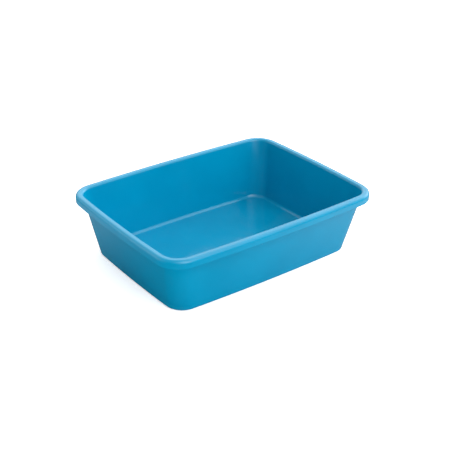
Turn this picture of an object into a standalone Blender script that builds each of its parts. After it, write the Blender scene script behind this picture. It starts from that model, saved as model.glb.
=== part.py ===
"""Open cat litter tray, injection moulded in one piece: a flat floor, four drafted walls that bow
slightly outwards, rounded corners, and a rim that turns out and down into a skirt clear of the wall.

Metres, +Z up. X runs along the tray, Y across it. The origin is at the middle of the underside.
"""

import math

import bmesh
import bpy
from mathutils import Vector

# Overall sizes, to the outside of the rim and from the underside to the top of the rim.
LENGTH = 0.420
WIDTH = 0.315
HEIGHT = 0.108

# The shell has one thickness through floor, walls, rim and skirt, and is heavier only along the base.
WALL_THICKNESS = 0.0022

# Outline of the rim: how far each side bows out over its length, and the radius of the corners.
LONG_SIDE_BOW = 0.0060
SHORT_SIDE_BOW = 0.0052
RIM_CORNER_RADIUS = 0.0407

# Section of the rim, on its upper face: width, drop of the skirt, and the two roundings.
RIM_WIDTH = 0.0124
SKIRT_DROP = 0.0136
RIM_INNER_ROUNDING = 0.0042
RIM_OUTER_ROUNDING = 0.0056
SKIRT_EDGE_ROUNDING = 0.0006

# Inside of the tray: how far a wall leans in from rim to floor, and the radii down at the floor.
# Outside, the edge that the tray stands on is sharper than the fillet above it.
WALL_LEAN = 0.0198
FLOOR_CORNER_RADIUS = 0.029
FLOOR_FILLET = 0.0065
BASE_EDGE_ROUNDING = 0.0025

# Steps in each curve.
SIDE_STEPS = 3
CORNER_STEPS = 8
ROUNDING_STEPS = 4
SKIRT_EDGE_STEPS = 2

# The Bevel takes only edges that turn more than this, which are the two below the skirt.
SHARP_TURN = math.radians(50)
MERGE_DISTANCE = 0.00005

PLASTIC_BLUE = (0.0, 0.270, 0.500, 1.0)
PLASTIC_ROUGHNESS = 0.20


def clear_scene():
    for old in list(bpy.data.objects):
        bpy.data.objects.remove(old, do_unlink=True)


def moulded_plastic():
    """Blue polypropylene with the satin finish of a polished mould."""
    material = bpy.data.materials.new("blue_polypropylene")
    material.use_nodes = True
    shader = material.node_tree.nodes["Principled BSDF"]
    shader.inputs["Base Color"].default_value = PLASTIC_BLUE
    shader.inputs["Roughness"].default_value = PLASTIC_ROUGHNESS
    shader.inputs["Metallic"].default_value = 0.0
    material.diffuse_color = PLASTIC_BLUE
    return material


def bow_radius(half_side, bow):
    """Radius of an arc that falls back by bow over half_side."""
    return (half_side**2 + bow**2) / (2 * bow)


def arc(centre_x, centre_y, radius, start, end, steps):
    """Points along an arc from angle start, leaving out the one at angle end."""
    angles = [start + (end - start) * step / steps for step in range(steps)]
    return [
        (centre_x + radius * math.cos(angle), centre_y + radius * math.sin(angle))
        for angle in angles
    ]


def corner_centre(x_centre, x_reach, y_centre, y_reach):
    """The point at x_reach from (x_centre, 0) and at y_reach from (0, y_centre), on the +X +Y side."""
    apart = math.hypot(x_centre, y_centre)
    along = (x_reach**2 - y_reach**2 + apart**2) / (2 * apart)
    aside = math.sqrt(x_reach**2 - along**2)
    across_x = -x_centre / apart
    across_y = -y_centre / apart
    return x_centre + across_x * along + across_y * aside, across_x * aside - across_y * along


def quarter_outline(inset, corner_radius):
    """A quarter of the rim's outline, moved inwards by inset, from the middle of a short side
    round the corner to the middle of a long side. Each side is an arc that meets the corner's arc smoothly.
    """
    short_radius = bow_radius(WIDTH / 2, SHORT_SIDE_BOW)
    long_radius = bow_radius(LENGTH / 2, LONG_SIDE_BOW)
    short_x = LENGTH / 2 - short_radius
    long_y = WIDTH / 2 - long_radius
    short_radius -= inset
    long_radius -= inset
    corner_x, corner_y = corner_centre(
        short_x, short_radius - corner_radius, long_y, long_radius - corner_radius
    )
    short_end = math.atan2(corner_y, corner_x - short_x)
    long_start = math.atan2(corner_y - long_y, corner_x)
    return (
        arc(short_x, 0.0, short_radius, 0.0, short_end, SIDE_STEPS)
        + arc(corner_x, corner_y, corner_radius, short_end, long_start, CORNER_STEPS)
        + arc(0.0, long_y, long_radius, long_start, math.pi / 2, SIDE_STEPS)
        + [(0.0, long_y + long_radius)]
    )


def corner_radius_at(inset, depth):
    """The rim's corners keep one centre. Down the walls the radius eases to that of the floor.
    Depth is how far behind the upper face a row lies, so that inside and outside ease together.
    """
    down_the_wall = min(max((inset + depth - RIM_WIDTH) / WALL_LEAN, 0.0), 1.0)
    widening = FLOOR_CORNER_RADIUS - (RIM_CORNER_RADIUS - RIM_WIDTH - WALL_LEAN)
    return RIM_CORNER_RADIUS - inset + widening * down_the_wall


def rounded(before, corner, after, radius):
    """Points along an arc of this radius that fits in a corner of the section."""
    towards_before = (before - corner).normalized()
    towards_after = (after - corner).normalized()
    half_angle = towards_before.angle(towards_after) / 2
    centre = corner + (towards_before + towards_after).normalized() * radius / math.sin(half_angle)
    start = corner + towards_before * radius / math.tan(half_angle) - centre
    end = corner + towards_after * radius / math.tan(half_angle) - centre
    directions = [start.slerp(end, step / ROUNDING_STEPS) for step in range(ROUNDING_STEPS + 1)]
    return [centre + direction * radius for direction in directions]


def upper_section():
    """Upper face of the shell, cut from the floor out to the edge of the skirt, as (inset, height)."""
    middle = Vector((WIDTH / 2, WALL_THICKNESS))
    floor_edge = Vector((RIM_WIDTH + WALL_LEAN, WALL_THICKNESS))
    rim_inner_edge = Vector((RIM_WIDTH, HEIGHT))
    rim_outer_edge = Vector((0.0, HEIGHT))
    skirt_edge = Vector((0.0, HEIGHT - SKIRT_DROP))
    return (
        rounded(middle, floor_edge, rim_inner_edge, FLOOR_FILLET)
        + rounded(floor_edge, rim_inner_edge, rim_outer_edge, RIM_INNER_ROUNDING)
        + rounded(rim_inner_edge, rim_outer_edge, skirt_edge, RIM_OUTER_ROUNDING)
        + [skirt_edge]
    )


def lower_section():
    """Lower face of the shell, cut from the edge of the skirt in to the underside of the floor."""
    skirt_edge = Vector((WALL_THICKNESS, HEIGHT - SKIRT_DROP))
    under_rim_outer_edge = Vector((WALL_THICKNESS, HEIGHT - WALL_THICKNESS))
    under_rim_inner_edge = Vector((outer_wall_inset(HEIGHT - WALL_THICKNESS), HEIGHT - WALL_THICKNESS))
    base_edge = Vector((outer_wall_inset(0.0), 0.0))
    middle = Vector((WIDTH / 2, 0.0))
    outer_radius = RIM_OUTER_ROUNDING - WALL_THICKNESS
    inner_radius = RIM_INNER_ROUNDING - WALL_THICKNESS
    return (
        [skirt_edge]
        + rounded(skirt_edge, under_rim_outer_edge, under_rim_inner_edge, outer_radius)
        + rounded(under_rim_outer_edge, under_rim_inner_edge, base_edge, inner_radius)
        + rounded(under_rim_inner_edge, base_edge, middle, BASE_EDGE_ROUNDING)
    )


def wall_run():
    """The wall's thickness measured level, which its lean makes a little more than square across."""
    wall_height = HEIGHT - WALL_THICKNESS
    return WALL_THICKNESS * math.hypot(WALL_LEAN, wall_height) / wall_height


def outer_wall_inset(height):
    """Inset of the outside of the wall at this height."""
    lean = WALL_LEAN * (HEIGHT - height) / (HEIGHT - WALL_THICKNESS)
    return RIM_WIDTH + lean - wall_run()


def add_row(mesh, inset, height, depth):
    """One row of points round a quarter of the tray, and the edges that join them."""
    points = quarter_outline(inset, corner_radius_at(inset, depth))
    row = [mesh.verts.new((x, y, height)) for x, y in points]
    return row, [mesh.edges.new(pair) for pair in zip(row, row[1:])]


def quarter_shell():
    """A quarter of the tray, bridged from row to row up the inside, over the rim and down the outside."""
    mesh = bmesh.new()
    rows = [add_row(mesh, inset, height, 0.0) for inset, height in upper_section()]
    rows += [add_row(mesh, inset, height, wall_run()) for inset, height in lower_section()]
    for (_, edges), (_, next_edges) in zip(rows, rows[1:]):
        bmesh.ops.bridge_loops(mesh, edges=edges + next_edges)
    floor = mesh.faces.new([mesh.verts.new((0.0, 0.0, WALL_THICKNESS))] + rows[0][0])
    mesh.faces.new([mesh.verts.new((0.0, 0.0, 0.0))] + rows[-1][0])
    bmesh.ops.recalc_face_normals(mesh, faces=mesh.faces)
    if floor.normal.z < 0:
        bmesh.ops.reverse_faces(mesh, faces=mesh.faces)
    data = bpy.data.meshes.new("tray")
    mesh.to_mesh(data)
    mesh.free()
    return data


def add_mirror(tray):
    mirror = tray.modifiers.new("four_quarters", "MIRROR")
    mirror.use_axis = (True, True, False)
    mirror.merge_threshold = MERGE_DISTANCE


def add_skirt_edge_rounding(tray):
    bevel = tray.modifiers.new("skirt_edge_rounding", "BEVEL")
    bevel.limit_method = "ANGLE"
    bevel.angle_limit = SHARP_TURN
    bevel.width = SKIRT_EDGE_ROUNDING
    bevel.segments = SKIRT_EDGE_STEPS


def make_tray():
    data = quarter_shell()
    data.materials.append(moulded_plastic())
    data.shade_smooth()
    tray = bpy.data.objects.new("tray", data)
    bpy.context.scene.collection.objects.link(tray)
    add_mirror(tray)
    add_skirt_edge_rounding(tray)


clear_scene()
make_tray()
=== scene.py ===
import math

import bmesh
import bpy
from mathutils import Matrix, Vector


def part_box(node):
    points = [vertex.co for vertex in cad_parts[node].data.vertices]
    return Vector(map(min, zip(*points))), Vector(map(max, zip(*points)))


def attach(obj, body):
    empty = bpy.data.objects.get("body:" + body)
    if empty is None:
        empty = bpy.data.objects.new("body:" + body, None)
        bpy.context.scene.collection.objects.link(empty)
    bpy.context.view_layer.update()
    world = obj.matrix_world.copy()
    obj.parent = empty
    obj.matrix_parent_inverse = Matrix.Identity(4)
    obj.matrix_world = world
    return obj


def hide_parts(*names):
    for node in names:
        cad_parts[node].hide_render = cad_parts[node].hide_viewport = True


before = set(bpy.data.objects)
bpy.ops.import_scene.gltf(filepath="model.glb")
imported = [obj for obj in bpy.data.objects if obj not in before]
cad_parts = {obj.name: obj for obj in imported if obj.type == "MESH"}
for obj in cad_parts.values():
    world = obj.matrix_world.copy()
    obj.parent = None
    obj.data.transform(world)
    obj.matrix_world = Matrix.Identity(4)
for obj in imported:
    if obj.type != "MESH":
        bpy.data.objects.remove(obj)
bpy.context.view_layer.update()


# Tray shell. One injection moulding in polypropylene, coloured right through: floor, flared walls and rim
# are a single skin, drawn up off its core, which is why every wall leans out. The rim turns out and down
# into a skirt that stiffens it, and the underside carries the small recess left by the moulding gate.

tray_low, tray_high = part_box("tray")
half_length = tray_high.x
half_width = tray_high.y
rim_top = tray_high.z
skin_thickness = 0.0022
long_side_bow = 0.0060
short_side_bow = 0.0052
rim_corner_radius = 0.0407
rim_width = 0.0124
rim_inner_rounding = 0.0042
rim_outer_rounding = 0.0056
skirt_drop = 0.0136
skirt_edge_rounding = 0.0007
wall_lean = 0.0198
floor_corner_radius = 0.029
floor_fillet = 0.0065
base_edge_rounding = 0.0025
gate_recess_radius = 0.0060
gate_recess_depth = 0.0004
gate_stub_radius = 0.0014
gate_chamfer = 0.0003
side_steps = 18
corner_steps = 24
rounding_steps = 8
easing_run = 0.0008
merge_distance = 0.00002


def swing(mesh, point, centre, angle, steps):
    """Carries a point round a centre, leaving its path behind as edges, and returns where it ends."""
    turned = bmesh.ops.spin(
        mesh, geom=[point], cent=centre, axis=(0, 0, 1), dvec=(0, 0, 0), angle=angle, steps=steps
    )
    return next(item for item in turned["geom_last"] if isinstance(item, bmesh.types.BMVert))


def outline_row(mesh, inset, height, depth):
    """A quarter of the rim's outline moved inwards: short side, corner and long side, as three arcs.
    The corners keep the rim's centre, and ease to the floor's wider radius on the way down the wall.
    """
    short_radius = (half_width**2 + short_side_bow**2) / (2 * short_side_bow)
    long_radius = (half_length**2 + long_side_bow**2) / (2 * long_side_bow)
    short_centre = Vector((half_length - short_radius, 0.0, height))
    long_centre = Vector((0.0, half_width - long_radius, height))
    down_the_wall = min(max((inset + depth - rim_width) / wall_lean, 0.0), 1.0)
    widening = floor_corner_radius - (rim_corner_radius - rim_width - wall_lean)
    corner_radius = rim_corner_radius - inset + widening * down_the_wall
    short_reach = short_radius - inset - corner_radius
    long_reach = long_radius - inset - corner_radius
    apart = (long_centre - short_centre).length
    along = (short_reach**2 - long_reach**2 + apart**2) / (2 * apart)
    across = (long_centre - short_centre).normalized()
    outwards = Vector((-across.y, across.x, 0.0))
    corner = short_centre + across * along + outwards * math.sqrt(short_reach**2 - along**2)
    short_angle = math.atan2(corner.y, corner.x - short_centre.x)
    long_angle = math.atan2(corner.x, corner.y - long_centre.y)
    drawn = set(mesh.edges)
    point = mesh.verts.new((half_length - inset, 0.0, height))
    point = swing(mesh, point, short_centre, short_angle, side_steps)
    point = swing(mesh, point, corner, math.pi / 2 - short_angle - long_angle, corner_steps)
    point = swing(mesh, point, long_centre, long_angle, side_steps)
    point.co.x = 0.0
    return [edge for edge in mesh.edges if edge not in drawn]


def round_row(mesh, radius, height):
    """A quarter circle round the middle of the tray, with as many edges as a row of the outline."""
    drawn = set(mesh.edges)
    point = mesh.verts.new((radius, 0.0, height))
    point = swing(mesh, point, (0, 0, height), math.pi / 2, 2 * side_steps + corner_steps)
    point.co.x = 0.0
    return [edge for edge in mesh.edges if edge not in drawn]


def rounded(before, corner, after, radius):
    """Section points along an arc in a corner, with one more on either side to keep the flats flat."""
    to_before = (before - corner).normalized()
    to_after = (after - corner).normalized()
    half_angle = to_before.angle(to_after) / 2
    centre = corner + (to_before + to_after).normalized() * radius / math.sin(half_angle)
    start = corner + to_before * radius / math.tan(half_angle)
    end = corner + to_after * radius / math.tan(half_angle)
    easing = min(easing_run, radius / 2)
    arc = [
        centre + (start - centre).slerp(end - centre, step / rounding_steps) * radius
        for step in range(rounding_steps + 1)
    ]
    return [start + to_before * easing] + arc + [end + to_after * easing]


def rounded_line(corners, radii):
    """Section points along a line through these corners, each rounded, without the line's two ends."""
    points = []
    for before, corner, after, radius in zip(corners, corners[1:], corners[2:], radii):
        points += rounded(before, corner, after, radius)
    return points


wall_height = rim_top - skin_thickness
wall_run = skin_thickness * math.hypot(wall_lean, wall_height) / wall_height
base_edge_inset = rim_width - wall_run + wall_lean * rim_top / wall_height
under_rim_inset = rim_width - wall_run + wall_lean * skin_thickness / wall_height
skirt_height = rim_top - skirt_drop
upper_corners = [
    Vector((half_width, skin_thickness)),
    Vector((rim_width + wall_lean, skin_thickness)),
    Vector((rim_width, rim_top)),
    Vector((0.0, rim_top)),
    Vector((0.0, skirt_height)),
    Vector((skin_thickness, skirt_height)),
]
upper_radii = [floor_fillet, rim_inner_rounding, rim_outer_rounding, skirt_edge_rounding]
lower_corners = [
    Vector((0.0, skirt_height)),
    Vector((skin_thickness, skirt_height)),
    Vector((skin_thickness, wall_height)),
    Vector((under_rim_inset, wall_height)),
    Vector((base_edge_inset, 0.0)),
    Vector((half_width, 0.0)),
]
lower_radii = [
    skirt_edge_rounding,
    rim_outer_rounding - skin_thickness,
    rim_inner_rounding - skin_thickness,
    base_edge_rounding,
]
gate_rings = [
    (gate_recess_radius, 0.0),
    (gate_recess_radius - gate_chamfer, gate_recess_depth),
    (gate_stub_radius, gate_recess_depth),
    (gate_stub_radius - gate_chamfer, gate_chamfer / 2),
]

shell = bmesh.new()
rows = [outline_row(shell, inset, height, 0.0) for inset, height in rounded_line(upper_corners, upper_radii)]
rows += [
    outline_row(shell, inset, height, wall_run) for inset, height in rounded_line(lower_corners, lower_radii)
]
rows += [round_row(shell, radius, height) for radius, height in gate_rings]
for edges, next_edges in zip(rows, rows[1:]):
    bmesh.ops.bridge_loops(shell, edges=edges + next_edges)
for axis in ("X", "Y"):
    bmesh.ops.mirror(
        shell,
        geom=shell.verts[:] + shell.edges[:] + shell.faces[:],
        matrix=Matrix.Identity(4),
        merge_dist=merge_distance,
        axis=axis,
    )
bmesh.ops.remove_doubles(shell, verts=shell.verts, dist=merge_distance)
bmesh.ops.edgeloop_fill(shell, edges=[edge for edge in shell.edges if edge.is_boundary])
bmesh.ops.recalc_face_normals(shell, faces=shell.faces)
tray_mesh = bpy.data.meshes.new("tray_shell")
shell.to_mesh(tray_mesh)
shell.free()
tray_mesh.shade_smooth()
tray = bpy.data.objects.new("tray_shell", tray_mesh)
bpy.context.scene.collection.objects.link(tray)

plastic_blue = (0.0, 0.268, 0.465, 1.0)
plastic_blue_deep = (0.0, 0.252, 0.441, 1.0)
scuffed_blue = (0.006, 0.290, 0.480, 1.0)
plastic_ior = 1.49
gloss_roughness = 0.09
satin_roughness = 0.14
scuffed_roughness = 0.36
patch_edges = (0.35, 0.65)
drift_size = 0.075
drift_detail = 2.0
finish_size = 0.025
finish_detail = 3.0
waviness_size = 0.085
waviness_detail = 1.0
waviness_height = 0.00016
grain_size = 0.0011
grain_detail = 2.0
grain_height = 0.000005
scuff_edges = (0.52, 0.68)
scuff_size = 0.012
scuff_detail = 5.0
scuff_stretch = (1.0, 0.35, 1.0)
standing_face_heights = (0.0002, 0.00176)
inner_floor_heights = (skin_thickness, 0.016)
inner_floor_scuffing = 0.2

plastic = bpy.data.materials.new("blue_polypropylene")
plastic.use_nodes = True
nodes = plastic.node_tree.nodes
link = plastic.node_tree.links.new
shader = nodes["Principled BSDF"]
shader.inputs["IOR"].default_value = plastic_ior
place = nodes.new("ShaderNodeTexCoord").outputs["Object"]


def patches(size, detail, stretch=(1.0, 1.0, 1.0)):
    """Soft random patches of this size, fixed to the tray."""
    spread = nodes.new("ShaderNodeMapping")
    spread.inputs["Scale"].default_value = stretch
    noise = nodes.new("ShaderNodeTexNoise")
    noise.inputs["Scale"].default_value = 1 / size
    noise.inputs["Detail"].default_value = detail
    link(place, spread.inputs["Vector"])
    link(spread.outputs["Vector"], noise.inputs["Vector"])
    return noise.outputs["Fac"]


def fade(source, edges, at_start, at_end):
    """Eases from one value to another as source goes from edge to edge, and holds it beyond both."""
    easing = nodes.new("ShaderNodeMapRange")
    easing.interpolation_type = "SMOOTHSTEP"
    easing.inputs["From Min"].default_value, easing.inputs["From Max"].default_value = edges
    easing.inputs["To Min"].default_value = at_start
    easing.inputs["To Max"].default_value = at_end
    link(source, easing.inputs["Value"])
    return easing.outputs["Result"]


def calculate(tree, operation, *values):
    """One step of arithmetic in a node tree, on numbers and on what other nodes give out."""
    node = tree.nodes.new("ShaderNodeMath")
    node.operation = operation
    for socket, value in zip(node.inputs, values):
        if isinstance(value, float):
            socket.default_value = value
        else:
            tree.links.new(value, socket)
    return node.outputs["Value"]


def mixed_colour(share, first, second):
    """A colour that goes from the first to the second as share goes from 0 to 1."""
    tint = nodes.new("ShaderNodeMixRGB")
    tint.inputs["Color2"].default_value = second
    link(share, tint.inputs["Fac"])
    if isinstance(first, tuple):
        tint.inputs["Color1"].default_value = first
    else:
        link(first, tint.inputs["Color1"])
    return tint.outputs["Color"]


def relief(source, height):
    """A bump that stands up to this height where source is 1."""
    bump = nodes.new("ShaderNodeBump")
    bump.inputs["Distance"].default_value = height
    link(source, bump.inputs["Height"])
    return bump


split = nodes.new("ShaderNodeSeparateXYZ")
link(place, split.inputs["Vector"])
above_ground = split.outputs["Z"]
standing_face = fade(above_ground, standing_face_heights, 1.0, 0.0)
inner_floor = fade(above_ground, inner_floor_heights, inner_floor_scuffing, 0.0)
scuffs = fade(patches(scuff_size, scuff_detail, scuff_stretch), scuff_edges, 0.0, 1.0)
where_rubbed = calculate(plastic.node_tree, "MAXIMUM", standing_face, inner_floor)
scuffing = calculate(plastic.node_tree, "MULTIPLY", where_rubbed, scuffs)
drift = fade(patches(drift_size, drift_detail), patch_edges, 0.0, 1.0)
colour = mixed_colour(drift, plastic_blue, plastic_blue_deep)
link(mixed_colour(scuffing, colour, scuffed_blue), shader.inputs["Base Color"])
finish = fade(patches(finish_size, finish_detail), patch_edges, gloss_roughness, satin_roughness)
scuffed_finish = fade(scuffing, (0.0, 1.0), 0.0, scuffed_roughness)
link(calculate(plastic.node_tree, "MAXIMUM", finish, scuffed_finish), shader.inputs["Roughness"])
wavy = relief(patches(waviness_size, waviness_detail), waviness_height)
grained = relief(patches(grain_size, grain_detail), grain_height)
link(wavy.outputs["Normal"], grained.inputs["Normal"])
link(grained.outputs["Normal"], shader.inputs["Normal"])
tray_mesh.materials.append(plastic)

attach(tray, "root")
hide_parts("tray")


# Studio floor. A pale paper sheet that runs well past the picture. Its gloss is set apart from its look:
# the tray mirrors only a few soft pools of light on a second sheet, as it would on unevenly lit paper.

floor_half_side = 6.0
floor_gap = 0.0006
gloss_sheet_height = -floor_gap / 2
paper_grey = (0.9, 0.9, 0.9, 1.0)
white = (1.0, 1.0, 1.0, 1.0)
paper_glow = 0.5
pool_radius = 0.13
pools = {(0.05, -0.28): 0.2, (0.25, -0.28): 0.7, (0.45, -0.28): 0.85, (-0.36, 0.27): 0.65}


def sheet(name, height):
    """A level square sheet, and the node tree of its new material."""
    shape = bmesh.new()
    bmesh.ops.create_grid(shape, x_segments=1, y_segments=1, size=floor_half_side)
    bmesh.ops.translate(shape, verts=shape.verts, vec=(0.0, 0.0, height))
    mesh = bpy.data.meshes.new(name)
    shape.to_mesh(mesh)
    shape.free()
    paint = bpy.data.materials.new(name)
    paint.use_nodes = True
    mesh.materials.append(paint)
    piece = bpy.data.objects.new(name, mesh)
    bpy.context.scene.collection.objects.link(piece)
    return piece, paint.node_tree


floor, paper = sheet("studio_floor", -floor_gap)
floor.visible_glossy = False
paper_shader = paper.nodes["Principled BSDF"]
paper_shader.inputs["Base Color"].default_value = paper_grey
paper_shader.inputs["Roughness"].default_value = 1.0
paper_shader.inputs["Specular IOR Level"].default_value = 0.0
paper_shader.inputs["Emission Color"].default_value = white
seen_directly = paper.nodes.new("ShaderNodeLightPath").outputs["Is Camera Ray"]
brightened = calculate(paper, "MULTIPLY", seen_directly, paper_glow)
paper.links.new(brightened, paper_shader.inputs["Emission Strength"])

mirrored, glowing = sheet("studio_floor_in_gloss", gloss_sheet_height)
mirrored.visible_camera = False
mirrored.visible_diffuse = False
mirrored.visible_shadow = False
glowing.nodes.remove(glowing.nodes["Principled BSDF"])
glow_place = glowing.nodes.new("ShaderNodeTexCoord").outputs["Object"]
glow_shader = glowing.nodes.new("ShaderNodeEmission")
glowing.links.new(glow_shader.outputs["Emission"], glowing.nodes["Material Output"].inputs["Surface"])
brightness = 0.0
for (x, y), strength in pools.items():
    distance = glowing.nodes.new("ShaderNodeVectorMath")
    distance.operation = "DISTANCE"
    distance.inputs[1].default_value = (x, y, gloss_sheet_height)
    glowing.links.new(glow_place, distance.inputs[0])
    squared = calculate(glowing, "POWER", distance.outputs["Value"], 2.0)
    bell = calculate(glowing, "EXPONENT", calculate(glowing, "MULTIPLY", squared, -0.5 / pool_radius**2))
    brightness = calculate(glowing, "MULTIPLY_ADD", bell, strength, brightness)
glowing.links.new(brightness, glow_shader.inputs["Strength"])


# Studio light. A white tent lit from outside by several wide lamps, each a soft glow on its cloth.
# Each lamp has a compass angle, a height angle and a strength. The camera itself sees plain white.

glow_tightness = 8.0
lamps = {
    "front": (2, 35, 3.6),
    "front_high": (0, 65, 0.9),
    "right_low": (88, 8, 2.1),
    "right": (95, 38, 2.9),
    "back_right": (158, 32, 1.9),
    "left": (-115, 40, 0.5),
    "back_left_low": (-135, 8, 1.5),
}


def towards(azimuth, elevation):
    """The direction at a compass angle and a height angle, in degrees, from straight in front."""
    turn, rise = math.radians(azimuth), math.radians(elevation)
    return Vector((math.sin(turn) * math.cos(rise), -math.cos(turn) * math.cos(rise), math.sin(rise)))


world = bpy.data.worlds.new("studio_tent")
world.use_nodes = True
tent = world.node_tree
tent_light = tent.nodes["Background"]
tent_light.inputs["Color"].default_value = white
outlook = tent.nodes.new("ShaderNodeTexCoord").outputs["Generated"]
brightness = 0.0
for azimuth, elevation, strength in lamps.values():
    facing = tent.nodes.new("ShaderNodeVectorMath")
    facing.operation = "DOT_PRODUCT"
    facing.inputs[1].default_value = towards(azimuth, elevation)
    tent.links.new(outlook, facing.inputs[0])
    falling = calculate(tent, "MULTIPLY_ADD", facing.outputs["Value"], glow_tightness, -glow_tightness)
    bell = calculate(tent, "EXPONENT", falling)
    brightness = calculate(tent, "MULTIPLY_ADD", bell, strength, brightness)
tent.links.new(brightness, tent_light.inputs["Strength"])
plain_background = tent.nodes.new("ShaderNodeBackground")
plain_background.inputs["Color"].default_value = white
seen_directly = tent.nodes.new("ShaderNodeLightPath").outputs["Is Camera Ray"]
chosen = tent.nodes.new("ShaderNodeMixShader")
tent.links.new(seen_directly, chosen.inputs["Fac"])
tent.links.new(tent_light.outputs["Background"], chosen.inputs[1])
tent.links.new(plain_background.outputs["Background"], chosen.inputs[2])
tent.links.new(chosen.outputs["Shader"], tent.nodes["World Output"].inputs["Surface"])
bpy.context.scene.world = world
bpy.context.scene.view_settings.view_transform = "Standard"


# Camera. A short telephoto view from above the tray's front left corner.

camera_away = towards(-35.75, 27.62)
camera_distance = 1.554
camera_target = Vector((-0.01588, 0.04238, 0.05))
camera_data = bpy.data.cameras.new("camera")
camera_data.lens = 73.16
camera_data.shift_x = 0.0556
camera_data.shift_y = -0.0222
camera = bpy.data.objects.new("camera", camera_data)
camera.location = camera_target + camera_away * camera_distance
camera.rotation_euler = camera_away.to_track_quat("Z", "Y").to_euler()
bpy.context.scene.collection.objects.link(camera)
bpy.context.scene.camera = camera
